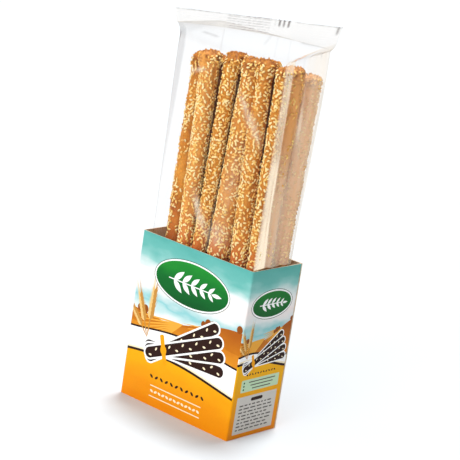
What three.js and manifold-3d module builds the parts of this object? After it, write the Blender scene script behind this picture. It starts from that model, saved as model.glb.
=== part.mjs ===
// A pack of sesame grissini: a folded board carton, open at the top, with a sealed clear film bag of
// breadsticks standing in it. Millimetres, +Z up. X runs across the wide front, -Y is the front, and
// the origin is the middle of the carton's underside.
import * as THREE from "three";
import { mergeVertices } from "three/addons/utils/BufferGeometryUtils.js";
import Module from "manifold-3d";

// Carton
const CARTON_WIDTH = 97;
const CARTON_DEPTH = 50;
const CARTON_HEIGHT = 115.5;
const BOARD = 0.6; // thickness of the folding boxboard
const CREASE_RADIUS = 1.1; // outside radius of the four upright creases
const LAP_WIDTH = 14; // glue lap inside the back wall
const LAP_THICKNESS = 0.5;
const LAP_SETBACK = 3; // from the rim and from the floor
const SEAM_WIDTH = 0.8; // joint of the two base flaps, seen from below
const SEAM_DEPTH = 0.3;
const SEAM_PLACE = 9; // behind the middle, as the front base flap is the longer one

// Film bag, standing against the front right corner of the carton
const REST_GAP = 0.3; // between the bag and the board it touches
const BAG_LEFT = -42.6;
const BAG_BACK = 15.4;
const BAG_FLARE_LEFT = 1.9; // how much wider the bag is at the stick tops than in the carton
const BAG_FLARE_BACK = 5.2;
const FLARE_START = 95;
const FOLD_HEIGHT = 253; // where the four walls fold in over the stick tops
const FOLD_CLIMB = 3.5; // how much higher the back fold is than the middle one, and the front lower
const FOLD_SAG = 3; // dip of the fold in the middle of the front
const FOLD_BLEND = 25; // height over which the walls reach the shape of the fold
const FOLD_EASE = 1.35; // above 1 the walls lean in late and round the fold
const SEAL_RISE = 6.5; // from the fold to the foot of the seal, in the middle
const SEAL_HEIGHT = 9.6;
const SEAL_TILT = THREE.MathUtils.degToRad(6.8); // the seal runs up to the right
const SEAL_SHIFT = -1.8; // middle of the seal, from the middle of the bag
const SEAL_SPREAD = 1.5; // how much further each end reaches at the cut edge
const SEAL_THICKNESS = 1.2;
const CORNER_WINDOW = 7; // length of wall over which a corner or a fold turns
const STICK_PITCH = 15.2;
const STICK_INSET = 6.5; // from a wall to the middle of the stick in its corner
const STICKS_WIDE = 5; // sticks that lie along a wide wall and along a side wall
const STICKS_DEEP = 3;
const FLUTE_DEPTH = 0.9; // how far the film sinks between two sticks
const STICK_TOP = 240; // above this height the flutes fade out
const FIN_WIDTH = 11; // back seam, folded flat
const FIN_THICKNESS = 0.7;
const FIN_OFFSET = 6; // middle of the back seam, from the middle of the bag
const BOTTOM_ROUND = 4; // turn from the walls to the underside

// Mesh density
const AROUND = 136; // points round the bag, a multiple of four
const BODY_ROWS = 18;
const FOLD_ROWS = 12;
const SEAL_ROWS = 2;
const WINDOW_STEPS = 8;

const materials = {
  board: new THREE.MeshStandardMaterial({ color: 0xe7b13c, roughness: 0.45, metalness: 0 }),
  film: new THREE.MeshStandardMaterial({ color: 0xd9a05a, roughness: 0.15, metalness: 0 }),
};

const wasm = await Module();
wasm.setup();

// A closed three.js geometry as a manifold-3d solid, and back.
function toSolid(geometry) {
  const bare = geometry.clone();
  bare.deleteAttribute("normal");
  bare.deleteAttribute("uv");
  const merged = mergeVertices(bare, 1e-4);
  return new wasm.Manifold(
    new wasm.Mesh({
      numProp: 3,
      vertProperties: merged.attributes.position.array,
      triVerts: new Uint32Array(merged.index.array),
    }),
  );
}

function toGeometry(solid) {
  const mesh = solid.getMesh();
  const geometry = new THREE.BufferGeometry();
  geometry.setAttribute("position", new THREE.BufferAttribute(mesh.vertProperties, 3));
  geometry.setIndex(new THREE.BufferAttribute(mesh.triVerts, 1));
  geometry.computeVertexNormals();
  return geometry;
}

function roundedRectangle(width, depth, radius) {
  const x = width / 2;
  const y = depth / 2;
  const shape = new THREE.Shape();
  shape.moveTo(-x + radius, -y);
  shape.lineTo(x - radius, -y);
  shape.absarc(x - radius, -y + radius, radius, -Math.PI / 2, 0);
  shape.lineTo(x, y - radius);
  shape.absarc(x - radius, y - radius, radius, 0, Math.PI / 2);
  shape.lineTo(-x + radius, y);
  shape.absarc(-x + radius, y - radius, radius, Math.PI / 2, Math.PI);
  shape.lineTo(-x, -y + radius);
  shape.absarc(-x + radius, -y + radius, radius, Math.PI, Math.PI * 1.5);
  return shape;
}

function upright(shape, from, to) {
  const geometry = new THREE.ExtrudeGeometry(shape, {
    depth: to - from,
    bevelEnabled: false,
    curveSegments: 6,
  });
  return geometry.translate(0, 0, from);
}

function block(x0, x1, y0, y1, z0, z1) {
  const geometry = new THREE.BoxGeometry(x1 - x0, y1 - y0, z1 - z0);
  return geometry.translate((x0 + x1) / 2, (y0 + y1) / 2, (z0 + z1) / 2);
}

// The carton: four walls and a floor of one board, with the glue lap inside the back wall.
function makeCarton() {
  const insideWidth = CARTON_WIDTH - 2 * BOARD;
  const insideDepth = CARTON_DEPTH - 2 * BOARD;
  const outside = upright(roundedRectangle(CARTON_WIDTH, CARTON_DEPTH, CREASE_RADIUS), 0, CARTON_HEIGHT);
  const inside = upright(
    roundedRectangle(insideWidth, insideDepth, CREASE_RADIUS - BOARD),
    BOARD,
    CARTON_HEIGHT + BOARD,
  );
  const lap = block(
    insideWidth / 2 - LAP_WIDTH,
    insideWidth / 2 + BOARD / 2,
    insideDepth / 2 - LAP_THICKNESS,
    insideDepth / 2 + BOARD / 2,
    BOARD + LAP_SETBACK,
    CARTON_HEIGHT - LAP_SETBACK,
  );
  const seam = block(
    -CARTON_WIDTH,
    CARTON_WIDTH,
    SEAM_PLACE - SEAM_WIDTH / 2,
    SEAM_PLACE + SEAM_WIDTH / 2,
    -BOARD,
    SEAM_DEPTH,
  );
  return toGeometry(toSolid(outside).subtract(toSolid(inside)).add(toSolid(lap)).subtract(toSolid(seam)));
}

// Walls of the bag at a height: left, right, front and back.
function bagWalls(z) {
  const front = -CARTON_DEPTH / 2 + BOARD + REST_GAP;
  const right = CARTON_WIDTH / 2 - BOARD - REST_GAP;
  const flare = THREE.MathUtils.smoothstep(z, FLARE_START, FOLD_HEIGHT);
  return {
    left: BAG_LEFT - BAG_FLARE_LEFT * flare,
    right,
    front,
    back: BAG_BACK + BAG_FLARE_BACK * flare,
  };
}

// How far the film sinks between the sticks, at a distance along a wall from its corner.
function flute(distance, sticks) {
  const past = distance - STICK_INSET;
  if (past <= 0 || past >= (sticks - 1) * STICK_PITCH) return 0;
  return (FLUTE_DEPTH / 2) * (1 - Math.cos((2 * Math.PI * past) / STICK_PITCH));
}

// A point of the bag's sharp outline. share runs from 0 at the middle of the left wall, along the
// front, to 0.5 at the middle of the right wall, and back along the back wall. As closed goes from 0,
// the walls, to 1, the seal, film passes from the side walls to the wide ones at the same girth.
function outlinePoint(share, walls, closed, fluted) {
  const turn = ((share % 1) + 1) % 1;
  const behind = turn > 0.5;
  const along = behind ? 1 - turn : turn; // 0 to 0.5, left to right
  const depth = (walls.back - walls.front) / 2;
  const halfWidth = (walls.right - walls.left) / 2 + depth * closed;
  const halfDepth = depth * (1 - closed);
  const flat = (along * 4 - 1) * (halfWidth + halfDepth); // place along the flattened bag
  const side = Math.sign(flat);
  const past = Math.max(Math.abs(flat) - halfWidth, 0);
  const sinkWide = past > 0 ? 0 : fluted * flute(halfWidth - flat, STICKS_WIDE);
  const sinkDeep = fluted * flute(behind ? 2 * halfDepth - past : past, STICKS_DEEP);
  const x = side * (Math.min(Math.abs(flat), halfWidth) - sinkDeep);
  return new THREE.Vector2(x, (halfDepth - past - sinkWide) * (behind ? 1 : -1));
}

// The same outline with its corners turned, averaged over a short length of wall.
function softPoint(share, walls, closed, fluted) {
  const around = 2 * (walls.right - walls.left + walls.back - walls.front);
  const sum = new THREE.Vector2();
  for (let step = 0; step < WINDOW_STEPS; step++) {
    const shift = ((step + 0.5) / WINDOW_STEPS - 0.5) * CORNER_WINDOW;
    sum.add(outlinePoint(share + shift / around, walls, closed, fluted));
  }
  return sum.divideScalar(WINDOW_STEPS);
}

// The rows of the bag from its underside to the top of the seal.
function bagRows() {
  const floor = BOARD + REST_GAP;
  const rows = [
    { z: floor, closed: 0, inset: BOTTOM_ROUND },
    { z: floor + BOTTOM_ROUND * 0.3, closed: 0, inset: BOTTOM_ROUND * 0.3 },
  ];
  for (let i = 0; i <= BODY_ROWS; i++)
    rows.push({
      z: THREE.MathUtils.lerp(floor + BOTTOM_ROUND, FOLD_HEIGHT, i / BODY_ROWS),
      closed: 0,
      inset: 0,
    });
  for (let i = 1; i <= FOLD_ROWS; i++) {
    const closed = (i / FOLD_ROWS) ** FOLD_EASE;
    rows.push({ z: FOLD_HEIGHT + (SEAL_RISE * i) / FOLD_ROWS, closed, inset: 0 });
  }
  for (let i = 1; i <= SEAL_ROWS; i++) {
    const z = FOLD_HEIGHT + SEAL_RISE + (SEAL_HEIGHT * i) / SEAL_ROWS;
    rows.push({ z, closed: 1, inset: (-SEAL_SPREAD * i) / SEAL_ROWS });
  }
  return rows;
}

function makeBag() {
  const positions = [];
  const rows = bagRows();
  for (const { z, closed, inset } of rows) {
    const walls = bagWalls(z);
    const middleX = (walls.left + walls.right) / 2 + SEAL_SHIFT * closed;
    const middleY = (walls.front + walls.back) / 2;
    const halfWidth = (walls.right - walls.left) / 2;
    const halfDepth = (walls.back - walls.front) / 2;
    const shrinkX = 1 - inset / halfWidth;
    const shrinkY = 1 - inset / halfDepth;
    const atFold = THREE.MathUtils.smoothstep(z, FOLD_HEIGHT - FOLD_BLEND, FOLD_HEIGHT) * (1 - closed);
    const fluted = 1 - THREE.MathUtils.smoothstep(z, STICK_TOP, FOLD_HEIGHT);
    for (let i = 0; i < AROUND; i++) {
      const share = i / AROUND;
      const point = softPoint(share, walls, closed, fluted);
      const onRim = i === 0 || i === AROUND / 2;
      const outwards = onRim ? 0 : share > 0.5 ? 1 : -1;
      const onFin = outwards > 0 && Math.abs(point.x - FIN_OFFSET) < FIN_WIDTH / 2;
      const proud = (SEAL_THICKNESS / 2) * closed + (onFin ? FIN_THICKNESS : 0);
      const towardsFront = 0.5 - point.y / (2 * halfDepth);
      const across = Math.cos((Math.PI / 2) * Math.min(Math.abs(point.x) / halfWidth, 1));
      const climb = FOLD_CLIMB * (1 - 2 * towardsFront) - FOLD_SAG * towardsFront * across;
      positions.push(
        middleX + point.x * shrinkX,
        middleY + point.y * shrinkY + proud * outwards,
        z + climb * atFold + point.x * Math.tan(SEAL_TILT) * closed,
      );
    }
  }
  const index = [];
  const quad = (a, b, c, d) => index.push(a, b, c, a, c, d);
  const last = (rows.length - 1) * AROUND;
  for (let row = 0; row < rows.length - 1; row++)
    for (let i = 0; i < AROUND; i++) {
      const next = (i + 1) % AROUND;
      const here = row * AROUND;
      quad(here + i, here + next, here + AROUND + next, here + AROUND + i);
    }
  // underside and top of the seal, laced from front to back
  for (const [base, up] of [
    [0, false],
    [last, true],
  ])
    for (let i = 0; i < AROUND / 2; i++) {
      const front = [base + i, base + i + 1];
      const back = [base + ((AROUND - i) % AROUND), base + AROUND - i - 1];
      const faces = [
        [front[0], front[1], back[1]],
        [front[0], back[1], back[0]],
      ];
      for (const [a, b, c] of faces)
        if (a !== b && b !== c && a !== c) index.push(...(up ? [a, b, c] : [a, c, b]));
    }
  const geometry = new THREE.BufferGeometry();
  geometry.setAttribute("position", new THREE.Float32BufferAttribute(positions, 3));
  geometry.setIndex(index);
  geometry.computeVertexNormals();
  return geometry;
}

const pack = new THREE.Group();
for (const [name, geometry, material] of [
  ["carton", makeCarton(), materials.board],
  ["film_bag", makeBag(), materials.film],
]) {
  const mesh = new THREE.Mesh(geometry, material);
  mesh.name = name;
  pack.add(mesh);
}

export default pack;
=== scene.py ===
# A pack of sesame grissini: printed carton, clear film bag, breadsticks and their seeds.
# Sizes are in millimetres and are turned to metres where a mesh is made.
import math
from functools import partial

import bpy
import numpy as np
from mathutils import Matrix, Vector, geometry


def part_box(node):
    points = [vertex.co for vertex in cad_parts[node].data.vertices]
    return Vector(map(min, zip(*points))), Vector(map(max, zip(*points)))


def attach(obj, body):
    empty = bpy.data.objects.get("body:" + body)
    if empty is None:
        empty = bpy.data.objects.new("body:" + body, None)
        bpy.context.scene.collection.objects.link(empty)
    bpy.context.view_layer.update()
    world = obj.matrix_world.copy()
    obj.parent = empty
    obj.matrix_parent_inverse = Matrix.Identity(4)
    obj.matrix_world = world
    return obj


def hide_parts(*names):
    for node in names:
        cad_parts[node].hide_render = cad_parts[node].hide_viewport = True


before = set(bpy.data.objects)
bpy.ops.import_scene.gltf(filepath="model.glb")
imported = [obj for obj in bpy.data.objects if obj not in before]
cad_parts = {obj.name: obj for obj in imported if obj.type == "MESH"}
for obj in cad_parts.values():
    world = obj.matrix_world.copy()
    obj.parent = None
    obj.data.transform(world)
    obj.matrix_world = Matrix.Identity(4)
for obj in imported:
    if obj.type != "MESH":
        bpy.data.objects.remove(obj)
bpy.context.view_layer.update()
mm = 0.001
print("frame loaded")


# small tools used by every piece

def linearColour(hexText):
    parts = [int(hexText[i : i + 2], 16) / 255 for i in (1, 3, 5)]
    return [c / 12.92 if c <= 0.04045 else ((c + 0.055) / 1.055) ** 2.4 for c in parts] + [1.0]


def addNode(tree, kind, inputs=None, **settings):
    # an input is a value, a hex colour, an output socket or a node, which gives its first output
    node = tree.nodes.new("ShaderNode" + kind)
    for name, value in settings.items():
        setattr(node, name, value)
    for socket, value in (inputs or {}).items():
        if isinstance(value, bpy.types.Node):
            value = value.outputs[0]
        if isinstance(value, bpy.types.NodeSocket):
            tree.links.new(value, node.inputs[socket])
        else:
            node.inputs[socket].default_value = linearColour(value) if isinstance(value, str) else value
    return node


def newTree(owner):
    # empties a material's or a world's nodes, and gives the function that adds to them
    owner.use_nodes = True
    owner.node_tree.nodes.clear()
    return partial(addNode, owner.node_tree)


def newMaterial(name):
    # with the function that adds its nodes, and the place on the object in metres
    material = bpy.data.materials.new(name)
    add = newTree(material)
    return material, add, add("TexCoord").outputs["Object"]


def fillRamp(ramp, stops):
    elements = ramp.color_ramp.elements
    while len(elements) < len(stops):
        elements.new(0.5)
    for element, (place, colour) in zip(elements, stops):
        element.position = place
        element.color = linearColour(colour)


def newPiece(name, points, faces, materials, faceMaterials=None, looks=None):
    # looks are values of each point that a material reads by name, and a piece with a dict of them is
    # shaded smooth
    mesh = bpy.data.meshes.new(name)
    loops = faces.tolist() if isinstance(faces, np.ndarray) else faces
    mesh.from_pydata((np.asarray(points) * mm).tolist(), [], loops)
    mesh.validate()
    mesh.update()
    for material in materials:
        mesh.materials.append(material)
    if faceMaterials is not None:
        mesh.polygons.foreach_set("material_index", np.asarray(faceMaterials, np.int32))
    if looks is not None:
        mesh.polygons.foreach_set("use_smooth", [True] * len(mesh.polygons))
        for look, rows in looks.items():
            attribute = mesh.attributes.new(look, "FLOAT", "POINT")
            attribute.data.foreach_set("value", np.concatenate(rows).astype(np.float32))
    piece = bpy.data.objects.new(name, mesh)
    bpy.context.scene.collection.objects.link(piece)
    return piece


def smoothStep(value, low, high):
    t = np.clip((value - low) / (high - low), 0, 1)
    return t * t * (3 - 2 * t)


def fade(value, low, high):
    return 1 - smoothStep(value, low, high)


def between(value, riseFrom, riseTo, fallFrom, fallTo):
    return smoothStep(value, riseFrom, riseTo) * fade(value, fallFrom, fallTo)


def bell(offset, width):
    return np.exp(-((offset / width) ** 2))


def profile(place, stops):
    # a value that goes smoothly from one (place, value) stop to the next
    value = stops[0][1]
    for (low, before), (high, after) in zip(stops, stops[1:]):
        value = value + (after - before) * smoothStep(place, low, high)
    return value


def direction(turn):
    # unit vectors in a plane, for one angle in radians or an array of them
    return np.stack([np.cos(turn), np.sin(turn)], -1)


def ringFaces(around, first, rows):
    # quads between rings of points that lie one after another
    ring = np.arange(around)
    quads = []
    for row in range(rows - 1):
        here, beside = first + row * around + ring, first + row * around + (ring + 1) % around
        quads += np.stack([here, beside, beside + around, here + around], 1).tolist()
    return quads


class Ripples:
    # soft seeded noise over two coordinates, mostly within -1 to 1: a sum of sine waves of about the
    # given lengths
    def __init__(self, seed, lengths, waves=14):
        random = np.random.default_rng(seed)
        self.waves = random.normal(0, 1, (waves, 2)) * (2 * math.pi / np.array(lengths))
        self.phases = random.uniform(0, 2 * math.pi, waves)

    def at(self, a, b):
        total = sum(np.sin(ka * a + kb * b + phase) for (ka, kb), phase in zip(self.waves, self.phases))
        return total / math.sqrt(len(self.phases) / 2) * 0.7


# camera

cameraView = {
    "azimuth": 38.99,
    "elevation": 14.8,
    "roll": 8.93,  # turns the camera about its own axis, so that the pack leans
    "target": (4.07, 0, 127.88),
    "distance": 1200,
    "lens": 143.4,
    "sensor": 36,
    "farthest": 50000,
}


def makeCamera():
    azimuth, elevation, roll = (math.radians(cameraView[k]) for k in ("azimuth", "elevation", "roll"))
    flat = math.cos(elevation)
    back = Vector((math.sin(azimuth) * flat, -math.cos(azimuth) * flat, math.sin(elevation)))
    level = Vector((0, 0, 1)).cross(back).normalized()
    above = back.cross(level)
    right = level * math.cos(roll) + above * math.sin(roll)
    up = above * math.cos(roll) - level * math.sin(roll)
    camera = bpy.data.objects.new("camera", bpy.data.cameras.new("camera"))
    camera.data.sensor_width = cameraView["sensor"]
    camera.data.lens = cameraView["lens"]
    camera.data.clip_end = cameraView["farthest"] * mm
    place = Vector(cameraView["target"]) + back * cameraView["distance"]
    camera.matrix_world = Matrix.Translation(place * mm) @ Matrix((right, up, back)).transposed().to_4x4()
    bpy.context.scene.collection.objects.link(camera)
    bpy.context.scene.camera = camera


makeCamera()
print("camera placed")


# carton: one strip of folding boxboard, bent round and glued, with the print on its outside

cartonLow, cartonHigh = (np.array(corner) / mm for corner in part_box("carton"))
carton = {
    "width": cartonHigh[0] - cartonLow[0],
    "depth": cartonHigh[1] - cartonLow[1],
    "height": cartonHigh[2] - cartonLow[2],
    "board": 0.6,
    "crease": 1.1,  # outside radius of an upright crease
    "creaseSteps": 6,
    "lap": 14,
    "glue": 0.03,
    "seam": 9,  # where the two base flaps meet, behind the middle
    "seamGap": 0.6,
    "baseGap": 0.02,  # between the base and the walls
}


class Wrap:
    # the strip's path round the carton, from the cut edge of the back wall by the left side, the front
    # and the right side to the glue lap; a place on it is millimetres along the strip
    def __init__(self):
        w, d, r, t = (carton[k] for k in ("width", "depth", "crease", "board"))
        quarter = r * math.pi / 2
        runs = {
            "back": w - r,
            "left": d - 2 * r,
            "front": w - 2 * r,
            "right": d - 2 * r - t - carton["glue"],
            "lap": carton["lap"] - r,
        }
        point, heading, along = np.array([w / 2, d / 2]), math.pi, 0.0
        self.runs, self.bends, self.middle = [], [], {}
        for name, length in runs.items():
            self.runs.append((along, along + length, point, heading))
            self.middle[name] = along + length / 2
            point = point + direction(heading) * length
            along += length
            if name != "lap":
                centre = point + r * direction(heading + math.pi / 2)
                self.bends.append((along, along + quarter, centre, heading))
                point = centre + r * direction(heading)
                heading += math.pi / 2
                along += quarter
        # a panel's printed middle lies half way between its two creases
        self.middle["back"] += r / 2 - quarter / 2
        self.length = along

    def at(self, along):
        # outer points and outward normals
        points, normals = np.zeros((2, len(along), 2))
        for start, end, point, heading in self.runs:
            on = (along >= start - 1e-6) & (along <= end + 1e-6)
            points[on] = point + np.outer(along[on] - start, direction(heading))
            normals[on] = direction(heading - math.pi / 2)
        for start, end, centre, heading in self.bends:
            on = (along > start) & (along < end)
            normals[on] = direction(heading - math.pi / 2 + (along[on] - start) / carton["crease"])
            points[on] = centre + carton["crease"] * normals[on]
        return points, normals


wrap = Wrap()

# shapes of the print, each an outline about its own middle


def ovalShape(width, height, points=48):
    turn = np.linspace(0, 2 * math.pi, points, endpoint=False)
    return direction(turn) * [width / 2, height / 2]


def barShape(length, width, points=10):
    # a bar with round ends
    turn = np.linspace(-math.pi / 2, math.pi / 2, points)
    end = direction(turn) * width / 2
    shift = np.array([(length - width) / 2, 0])
    return np.concatenate([end + shift, -end - shift])


def leafShape(length, width, points=12):
    # pointed at both ends, from its foot at the origin
    share = np.linspace(0, 1, points)
    side = width / 2 * np.sin(math.pi * share**0.85)
    upper = np.stack([share * length, side], 1)
    return np.concatenate([upper, upper[-2:0:-1] * [1, -1]])


def boxShape(width, height, radius=0.8, points=5):
    corners = []
    for quarter, (sx, sy) in enumerate([(1, -1), (1, 1), (-1, 1), (-1, -1)]):
        turn = np.linspace(-math.pi / 2, 0, points) + quarter * math.pi / 2
        middle = np.array([sx * (width / 2 - radius), sy * (height / 2 - radius)])
        corners.append(middle + radius * direction(turn))
    return np.concatenate(corners)


def bandShape(half, top, bottom, points=60):
    # a field across a panel under a curved top edge
    x = np.linspace(-half, half, points)
    return np.concatenate([np.stack([x, top(x)], 1), [[half, bottom], [-half, bottom]]])


def placed(shape, x, y, degrees=0.0):
    c, s = math.cos(math.radians(degrees)), math.sin(math.radians(degrees))
    return shape @ np.array([[c, s], [-s, c]]) + [x, y]


class Print(list):
    # outlines of one panel with their inks, from the lowest layer up
    def put(self, ink, shape, x, y, degrees=0.0):
        self.append((placed(shape, x, y, degrees), ink))

    def sprig(self, ink, x, y, length, pairs, leaf):
        # a curved stem with paired leaves, lying on its side
        for i in range(pairs):
            share = (i + 0.6) / pairs
            px, py = x + (share - 0.5) * length, y + 0.9 * math.sin(share * math.pi) - 0.5
            size = leaf * (1.05 - 0.45 * share)
            for side in (1, -1):
                self.put(ink, leafShape(size, size * 0.36), px, py, side * 42)
        self.put(ink, leafShape(leaf * 0.8, leaf * 0.24), x + length / 2, y - 0.4)
        self.put(ink, barShape(length, 0.7), x, y)

    def wheatEar(self, x, y, size, degrees):
        # an ear with two rows of grains and fine awns, from the foot of its stalk
        self.put("strawDark", leafShape(size * 0.5, size * 0.035), x, y, degrees)
        for i in range(7):
            px, py = direction(math.radians(degrees)) * size * (0.34 + 0.075 * i) + [x, y]
            for side, ink in ((1, "strawLight"), (-1, "strawDark")):
                turn = degrees + side * (24 - 1.5 * i)
                self.put(ink, leafShape(size * 0.42, size * 0.012), px, py, turn - side * 9)
                self.put(ink, leafShape(size * 0.17, size * 0.075, 8), px, py, turn)

    def sheaf(self, x, y, scale):
        # a tied fan of breadsticks with seeds on them
        length, width = printPlan["stickLength"] * scale, printPlan["stickWidth"] * scale
        for angle in printPlan["sheafAngles"]:
            middle = direction(math.radians(angle)) * length * (0.5 - printPlan["stickTail"]) + [x, y]
            self.put("whiteInk", barShape(length + 2.6 * scale, width + 2.6 * scale), *middle, angle)
            self.put("cocoaInk", barShape(length, width), *middle, angle)
            for i in range(11):
                px, py = (i / 10 - 0.5) * length * 0.88, (0.2 if i % 2 else -0.2) * width
                seed = placed(ovalShape(2.6 * scale, 1.4 * scale, 12), px, py, 38 if i % 2 else -24)
                self.put("creamInk", seed, *middle, angle)
        self.put("tieInk", boxShape(3.6 * scale, 21 * scale, 1.2 * scale), x, y, 18)
        self.put("tieInk", ovalShape(5.4 * scale, 6.6 * scale, 20), x, y, 18)


printPlan = {
    "plaqueHeight": 91,  # middle of the green plaque
    "plaque": (64, 29),
    "ridge": 66,  # mean height of the farthest hill
    # (drop below the ridge, slope, and height, shift and length of the swell) of each hill's edge
    "hills": {"far": (0, 0.10, 3.4, -12, 17), "near": (7, 0.06, 3.2, 22, 15), "blank": (15, 0, 2.8, 30, 18)},
    "trees": ((-0.86, 4.4), (-0.76, 5.6), (0.30, 4.0), (0.38, 5.4), (0.46, 4.2), (0.93, 5.0)),
    "ears": ((112, 33), (88, 38), (133, 27)),  # turn in degrees and length of each ear of wheat
    "sheafPivot": (-16, 41),
    "sheafAngles": (2, 35, 13, 24),  # the last one lies on top
    "stickLength": 70,
    "stickWidth": 7.4,
    "stickTail": 0.24,  # share of a stick behind the tie
    "fieldHeight": 30,
    "sideScale": 0.6,  # of the side panels' motifs
    "sideLift": 17,
    "infoPanel": (40, 26),
    "claimPanel": (38, 8.6),
}


def panelPrint(half, scale, side):
    plan = printPlan
    lift = plan["sideLift"] if side else 0
    art = Print()
    put = art.put

    def band(ink, top, bottom):
        art.append((bandShape(half, top, bottom), ink))

    def hill(name):
        drop, slope, swell, shift, length = plan["hills"][name]
        return lambda x: ridge - drop + slope * x / scale + swell * np.sin((x + shift) / length / scale)

    # sky, and hills that rise to the right, with furrows and round trees
    ridge = plan["ridge"] + lift * 0.25
    far, near, blank = (hill(name) for name in plan["hills"])
    band("skyPrint", lambda x: 0 * x + carton["height"], 0)
    band("farHill", far, 30)
    for i in range(8):
        put("furrow", leafShape(34 * scale, 0.9), half * 0.62, ridge + 3, 188 + i * 5.5)
    for across, size in plan["trees"]:
        crown = float(far(across * half)) + size * scale * 0.36
        put("treeInk", ovalShape(size * scale, size * scale * 1.1, 18), across * half, crown)
    band("nearHill", near, 30)
    for i in range(9):
        put("furrow", leafShape(44 * scale, 1.1), -half * 0.05, ridge - 2.5, 186 + i * 4.6)
    band("cocoaInk", lambda x: blank(x) + 1.3, 20)
    band("whiteBoard", blank, 20)

    # the warm field along the foot, with its double edge
    edge = lambda x: plan["fieldHeight"] + lift + 5.0 * np.cos((x + 14) / 30 / scale)
    band("creamInk", lambda x: edge(x) + 2.9, 10)
    band("cocoaInk", lambda x: edge(x) + 1.7, 10)
    band("orangeField", edge, 0)

    pivotX, pivotY = plan["sheafPivot"]
    for degrees, size in plan["ears"]:
        art.wheatEar(-half * 0.66, pivotY + lift * 0.6 + 4, size * scale, degrees)
    art.sheaf(pivotX * scale, pivotY + lift * 0.62, scale)

    width, height = (value * scale for value in plan["plaque"])
    for grow, ink in ((3.0, "deepGreen"), (2.2, "whiteInk"), (0, "plaqueGreen")):
        put(ink, ovalShape(width + grow, height + grow), 0, plan["plaqueHeight"])
    art.sprig("whiteInk", -1.5 * scale, plan["plaqueHeight"], 38 * scale, 5, 11 * scale)

    # a row of seeds, then rules and seeds on the front, or blocks of short dashes on a side
    for i in range(11):
        seed = ovalShape(3.3 * scale, 1.7 * scale, 14)
        put("cocoaInk", seed, (i - 5) * 4.6 * scale, 44 if side else 20.5, 40 if i % 2 else -40)
    if not side:
        for y in (14.2, 6.8):
            put("creamInk", barShape(46, 0.7, 4), 0, y)
        for i in range(13):
            put("creamInk", ovalShape(2.9, 1.6, 12), (i - 6) * 3.5, 10.5, 25 if i % 2 else -25)
        return art
    put("paleGreen", boxShape(*plan["claimPanel"]), 0.8, 36.4)
    for i in range(3):
        put("greyInk", barShape(27 - 4 * i, 0.7, 3), 2.5, 38.6 - 2.3 * i)
        put("plaqueGreen", ovalShape(1.5, 1.5, 8), -15.5, 38.6 - 2.3 * i)
    put("infoGrey", boxShape(*plan["infoPanel"], 0.5), 0, 16)
    put("cocoaInk", barShape(12, 2.4, 5), 0, 26)
    random = np.random.default_rng(5)  # rows of dashes, each from a ragged left end to a ragged right one
    for i in range(8):
        left, end = -18 + 1.5 * random.uniform(), 18 - 3 * random.uniform()
        while left < end - 2:
            dash = min(float(random.uniform(2.2, 6)), end - left)
            put("greyInk", barShape(dash, 0.85, 3), left + dash / 2, 22.6 - 2.4 * i)
            left += dash + 0.9
    return art


def insideOutline(outline, points):
    # even-odd test of many points against one outline
    inside = np.zeros(len(points), bool)
    for (x0, y0), (x1, y1) in zip(outline, np.roll(outline, -1, axis=0)):
        if y0 != y1:
            crosses = (y0 > points[:, 1]) != (y1 > points[:, 1])
            inside ^= crosses & (points[:, 0] < (x1 - x0) * (points[:, 1] - y0) / (y1 - y0) + x0)
    return inside


def printedTriangles():
    # cuts the flat strip along every printed outline and crease, and names the ink of each triangle
    tall = carton["height"]
    wide = (carton["width"] / 2, 1.0, False)
    narrow = (carton["depth"] / 2, printPlan["sideScale"], True)
    art = []
    for name, (half, scale, side) in {"back": wide, "left": narrow, "front": wide, "right": narrow}.items():
        low, high = wrap.middle[name] - half, wrap.middle[name] + half
        for outline, ink in panelPrint(half, scale, side):
            outline = outline + [wrap.middle[name], 0]
            outline[:, 0] = np.clip(outline[:, 0], max(low, 0), high)
            outline[:, 1] = np.clip(outline[:, 1], 0, tall)
            art.append((outline, ink))
    points, edges = [], []

    def addLoop(loop, closed=True):
        start, count = len(points), len(loop)
        points.extend(Vector(p) for p in loop)
        edges.extend((start + i, start + (i + 1) % count) for i in range(count if closed else count - 1))

    addLoop([(0, 0), (wrap.length, 0), (wrap.length, tall), (0, tall)])
    for start, end, _, _ in wrap.bends:
        for x in np.linspace(start, end, carton["creaseSteps"] + 1):
            addLoop([(x, 0), (x, tall)], closed=False)
    for outline, _ in art:
        addLoop(outline)
    flat, _, faces, _, _, _ = geometry.delaunay_2d_cdt(points, edges, [], 0, 1e-4)
    flat = np.array([tuple(p) for p in flat])
    faces = np.array([face for face in faces if len(face) == 3])
    corners = flat[faces]
    area = np.cross(corners[:, 1] - corners[:, 0], corners[:, 2] - corners[:, 0])
    faces, centres = faces[np.abs(area) > 1e-7], corners[np.abs(area) > 1e-7].mean(1)
    inks = np.array(["plainBoard"] * len(faces), dtype=object)
    for outline, ink in art:
        inks[insideOutline(outline, centres)] = ink
    return flat, faces, inks


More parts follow.
